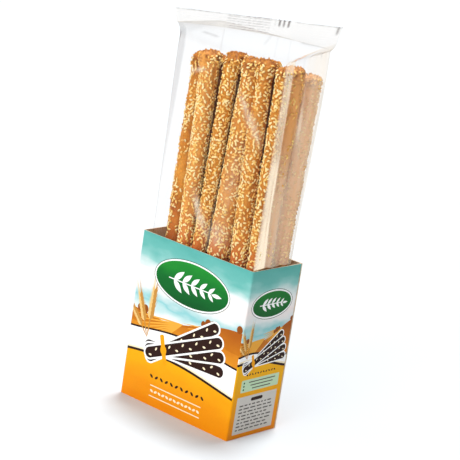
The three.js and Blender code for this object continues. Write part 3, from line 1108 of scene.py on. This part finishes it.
def bakedCrust(name, colours):
    # wheat dough with oil, baked hard: satin and golden brown, browner towards the top with painted shade in
    # its hollows, lighter on some sticks as painted light, and redder above the rim as painted shade
    material, add, place = newMaterial(name)
    looks = [add("Attribute", attribute_name=look) for look in ("tipBrowningAndShade", "paintedLight")]
    tipBrowningAndShade, paintedLight = (look.outputs["Fac"] for look in looks)
    # patches of browning about 11 mm across and 25 mm long, and pores about 0.9 mm across
    stretch = add("Mapping", {"Vector": place, "Scale": (1, 1, 0.45)})
    grain = {"Vector": stretch, "Scale": 1 / (11 * mm), "Detail": 4, "Roughness": 0.6}
    patch = add("TexNoise", grain)
    ramp = add("ValToRGB", {"Fac": patch})
    fillRamp(ramp, list(zip((0.30, 0.45, 0.58, 0.72), colours)))
    grain = {"Vector": place, "Scale": 1 / (0.9 * mm), "Detail": 5, "Roughness": 0.65}
    pore = add("TexNoise", grain)
    shade = add("MapRange", {0: pore, 1: 0.3, 2: 0.7, 3: 0.68, 4: 1.2})
    tone = add("HueSaturation", {"Color": ramp, "Value": shade}).outputs[0]
    # redder and darker up to about 30 mm above the carton's rim: painted shade and orange bounce light from
    # the carton
    level = add("SeparateXYZ", {"Vector": place}).outputs["Z"]
    middle = add("MapRange", {0: level, 1: 112 * mm, 2: 142 * mm, 3: 0.72, 4: 0.0})
    # mixed in: a lighter crust as painted light, redder painted shade above the rim, and end browning with
    # painted shade in the hollows
    for share, colour in ((paintedLight, "#f3ad62"), (middle, "#c0501a"), (tipBrowningAndShade, "#874510")):
        tone = add("Mix", {0: share, 6: tone, 7: colour}, data_type="RGBA").outputs[2]
    # fine cracks in cells about 2.6 mm across
    cells = {"Vector": stretch, "Scale": 1 / (2.6 * mm)}
    crack = add("TexVoronoi", cells, feature="DISTANCE_TO_EDGE").outputs["Distance"]
    groove = add("MapRange", {0: crack, 1: 0.0, 2: 0.12, 3: 0.0, 4: 1.0})
    height = add("Math", {0: groove, 1: 0.25, 2: pore}, operation="MULTIPLY_ADD")
    bump = add("Bump", {"Height": height, "Strength": 0.55, "Distance": 0.35 * mm})
    rough = add("MapRange", {0: pore, 3: 0.42, 4: 0.66})
    finish = {"Base Color": tone, "Roughness": rough, "Normal": bump, "IOR": 1.45, "Specular IOR Level": 0.3}
    skin = add("BsdfPrincipled", finish)
    add("OutputMaterial", {"Surface": skin})
    return material


allSticks = [Stick(number, *values) for number, values in enumerate(sticks["outer"] + settleSticks())]
shown = len(sticks["outer"])
batches = {
    # name: (sticks, points round one, spacing of its rows, colours of the crust)
    "grissini": (allSticks[:shown], 44, 1, ("#a65a0e", "#c87a1a", "#d98c28", "#e4a440")),
    # the hidden sticks get a darker crust, painted shade that darkens the gaps between the sticks in front
    "shadedInnerGrissini": (allSticks[shown:], 20, 2, ("#6b3410", "#7e4216", "#8a4b1b", "#965624")),
}
for name, plan in batches.items():
    piece = makeSticks(name, *plan)
    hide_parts("film_bag")
    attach(piece, "root")
    print(name, "baked:", len(piece.data.polygons), "faces")


# sesame seeds on the sides of the sticks that face out

sesame = {
    "length": 2.6,
    "width": 1.68,
    "thickness": 1.0,
    "proud": 0.26,  # how far the middle of a seed stands over the crust
    "afloat": 0.1,  # the part of that which points straight away from the stick's middle
    "lowest": 100,
    "spacing": 1.5,  # least distance between two seeds
    "tries": 4200,  # on one stick
    "rings": 4,
    "sides": 7,
    "reach": 11.5,  # how far behind the film a seed still shows
    "room": 0.35,  # least distance from the film
    "gap": 0.7,  # least distance from the next stick
    "share": 0.9,
    "bare": {0: 0.3, 1: 1.1, 6: 0.16, 7: 0.6},  # sticks with another share of seeds
    "patchy": 0.45,  # how much the share varies along a stick
    "rubbed": 0.45,  # share lost by the rim of the carton
    "tipRound": 6.5,  # seeds this near the top lean outwards
    "tipLean": 1.2,  # radians, at the very top
    "tilt": 0.16,  # spread of how far seeds stand up at one end, in radians
    "uneven": 0.07,  # spread of their size
    "browner": (6, 7),  # sticks whose seeds are a shade browner
    "kinds": {
        # name: (lighter colour, darker colour, share)
        "paleSesame": ("#fdeab0", "#fbdc8a", 0.50),
        "goldenSesame": ("#fcd680", "#f2bd58", 0.37),
        "toastedSesame": ("#f0b85a", "#da983a", 0.13),
    },
}


def seedShape():
    # a flat drop, round at one end and pointed at the other
    rings, sides = sesame["rings"], sesame["sides"]
    points = [(-0.5, 0, 0)]
    for i in range(1, rings):
        share = i / rings
        x = -0.5 * math.cos(math.pi * share)
        wide = math.sin(math.pi * share) ** 0.9 * (1 - 0.34 * (x + 0.5))
        for k in range(sides):
            turn = 2 * math.pi * k / sides
            points.append((x, 0.5 * wide * math.cos(turn), 0.5 * wide * math.sin(turn)))
    points.append((0.5, 0, 0))
    last = len(points) - 1
    faces = []
    for k in range(sides):
        after = (k + 1) % sides
        faces.append((0, 1 + after, 1 + k))
        for i in range(rings - 2):
            a, b = 1 + i * sides + k, 1 + i * sides + after
            faces.append((a, b, b + sides))
            faces.append((a, b + sides, a + sides))
        faces.append((last, last - sides + k, last - sides + after))
    size = np.array([sesame["length"], sesame["width"], sesame["thickness"]])
    return np.array(points) * size, np.array(faces)


def spreadOut(indices, spots):
    # keeps those that lie clear of the ones kept before
    cell = sesame["spacing"]
    taken, grid = [], {}
    for i in indices:
        spot = spots[i]
        column, row = (int(value / cell) for value in spot)
        cells = [(column + a, row + b) for a in (-1, 0, 1) for b in (-1, 0, 1)]
        if all(math.dist(p, spot) > cell for key in cells for p in grid.get(key, ())):
            grid.setdefault((column, row), []).append(spot)
            taken.append(i)
    return taken


def scatterSeeds():
    # rows of (point, outward normal, how many shades browner)
    random = np.random.default_rng(41)
    cover = Ripples(42, (9, 30))
    found = []
    for number, stick in enumerate(allSticks):
        z = random.uniform(sesame["lowest"], stick.top - 0.8, sesame["tries"])
        angle = random.uniform(0, 2 * math.pi, len(z))
        reach = stick.reach(angle, z)
        outward = direction(angle)
        spot = stick.centre(z) + outward * (reach + sesame["afloat"])[:, None]
        left, right, front, back = bagWalls(z)
        wall = np.min([spot[:, 0] - left, right - spot[:, 0], spot[:, 1] - front, back - spot[:, 1]], axis=0)
        keep = (wall < sesame["reach"]) & (wall > sesame["room"])
        for other in allSticks:
            if other is not stick:
                apart = np.linalg.norm(spot - other.centre(z), axis=1)
                keep &= (apart > other.along(z)[:, 2] + sesame["gap"]) | (z > other.top)
        share = sesame["bare"].get(number, sesame["share"]) - sesame["rubbed"] * fade(z, 112, 128)
        share = share + sesame["patchy"] * cover.at(angle * 7 + number * 50, z)
        keep &= random.uniform(0, 1, len(z)) < share
        for i in spreadOut(np.flatnonzero(keep), np.stack([reach * angle, z], 1)):
            lean = sesame["tipLean"] * max(0.0, 1 - (stick.top - z[i]) / sesame["tipRound"])
            normal = np.array([*(outward[i] * math.cos(lean)), math.sin(lean)])
            found.append((np.array([*spot[i], z[i]]), normal, int(number in sesame["browner"])))
    return found


def toastedSeed(name, light, dark):
    # hulled white sesame, toasted: smooth and slightly oily, mottled between a lighter and a darker colour
    material, add, place = newMaterial(name)
    noise = add("TexNoise", {"Vector": place, "Scale": 1 / (1.6 * mm), "Detail": 2})
    ramp = add("ValToRGB", {"Fac": noise})
    fillRamp(ramp, [(0.35, dark), (0.6, light)])
    skin = add("BsdfPrincipled", {"Base Color": ramp, "Roughness": 0.36, "IOR": 1.47})
    add("OutputMaterial", {"Surface": skin})
    return material


def makeSeeds():
    shape, shapeFaces = seedShape()
    random = np.random.default_rng(43)
    spots = scatterSeeds()
    shares = np.cumsum([share for _, _, share in sesame["kinds"].values()])
    kinds = np.searchsorted(shares, random.uniform(0, shares[-1], len(spots)))
    kinds = np.minimum(kinds + np.array([browner for _, _, browner in spots]), len(shares) - 1)
    for number, (name, (light, dark, _)) in enumerate(sesame["kinds"].items()):
        points, faces = [], []
        for i in np.flatnonzero(kinds == number):
            spot, normal, _ = spots[i]
            side = np.cross(normal, [0, 0, 1.0])
            side /= np.linalg.norm(side) + 1e-9
            up = np.cross(side, normal)
            spin = random.uniform(0, 2 * math.pi)
            tilt = random.normal(0, sesame["tilt"])
            ahead = side * math.cos(spin) + up * math.sin(spin)
            sideways = np.cross(normal, ahead)
            ahead = ahead * math.cos(tilt) + normal * math.sin(tilt)
            turned = shape @ np.array([ahead, sideways, np.cross(ahead, sideways)])
            turned *= random.normal(1, sesame["uneven"])
            faces.append(shapeFaces + len(points) * len(shape))
            points.append(turned + spot + normal * (sesame["proud"] - sesame["afloat"]))
        seed = toastedSeed(name, light, dark)
        piece = newPiece(name, np.concatenate(points), np.concatenate(faces), [seed], looks={})
        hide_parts("film_bag")
        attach(piece, "root")
        print(name, "scattered:", len(points), "seeds,", len(piece.data.polygons), "faces")


makeSeeds()


# floor, world and studio lights

studio = {
    "floorSize": 40000,
    "floorColour": "#d4d8dc",
    "worldLow": 0.06,  # away from the window
    "worldHigh": 1.36,  # towards the window
    "window": (-0.32, -0.94, 0.12),
    "windowSpan": (-0.28, 0.95),  # cosines between which the window brightens
    "strip": (0.66, 0.75, 0.06),  # a panel behind on the right, which shines in the film
    "stripSpan": (0.90, 0.97),
    "stripStrength": 0.65,
    "backdrop": 0.9,  # seen past the edge of the floor
    "suns": {
        # name: (towards the lamp, irradiance, angle of the soft edge in degrees)
        "rearSoft": ((-0.045, 0.16, 0.986), 3.18, 11),
        "frontKey": ((0.09, -0.925, 0.36), 0.69, 30),
    },
}


def makeFloor():
    # matt seamless paper
    half = studio["floorSize"] / 2
    corners = [(-half, -half, 0), (half, -half, 0), (half, half, 0), (-half, half, 0)]
    material, add, _ = newMaterial("paleStudioFloor")
    paper = {"Base Color": studio["floorColour"], "Roughness": 0.8, "Specular IOR Level": 0.0}
    skin = add("BsdfPrincipled", paper)
    add("OutputMaterial", {"Surface": skin})
    floor = newPiece("floor", corners, [(0, 1, 2, 3)], [material])


def makeWorld():
    # a wide window in front, and a panel behind on the right
    world = bpy.data.worlds.new("studio")
    add = newTree(world)
    way = add("TexCoord").outputs["Generated"]
    glows = []
    for place, span, low, high in (
        ("window", "windowSpan", studio["worldLow"], studio["worldHigh"]),
        ("strip", "stripSpan", 0.0, studio["stripStrength"]),
    ):
        towards = Vector(studio[place]).normalized()
        cosine = add("VectorMath", {0: way, 1: towards}, operation="DOT_PRODUCT")
        steps = {0: cosine.outputs["Value"], 1: studio[span][0], 2: studio[span][1], 3: low, 4: high}
        glows.append(add("MapRange", steps, interpolation_type="SMOOTHSTEP"))
    total = add("Math", {0: glows[0], 1: glows[1]}, operation="ADD")
    seen = add("LightPath").outputs["Is Camera Ray"]
    strength = add("Mix", {0: seen, 2: total, 3: studio["backdrop"]}, data_type="FLOAT")
    sky = add("Background", {"Color": "#ffffff", "Strength": strength})
    add("OutputWorld", {"Surface": sky})
    bpy.context.scene.world = world


def makeSuns():
    for name, (towards, irradiance, angle) in studio["suns"].items():
        lamp = bpy.data.lights.new(name, "SUN")
        lamp.energy = irradiance
        lamp.angle = math.radians(angle)
        holder = bpy.data.objects.new(name, lamp)
        holder.rotation_euler = (-Vector(towards)).to_track_quat("-Z", "Y").to_euler()
        bpy.context.scene.collection.objects.link(holder)


makeFloor()
makeWorld()
makeSuns()
bpy.context.scene.view_settings.view_transform = "Standard"
print("stage lit")
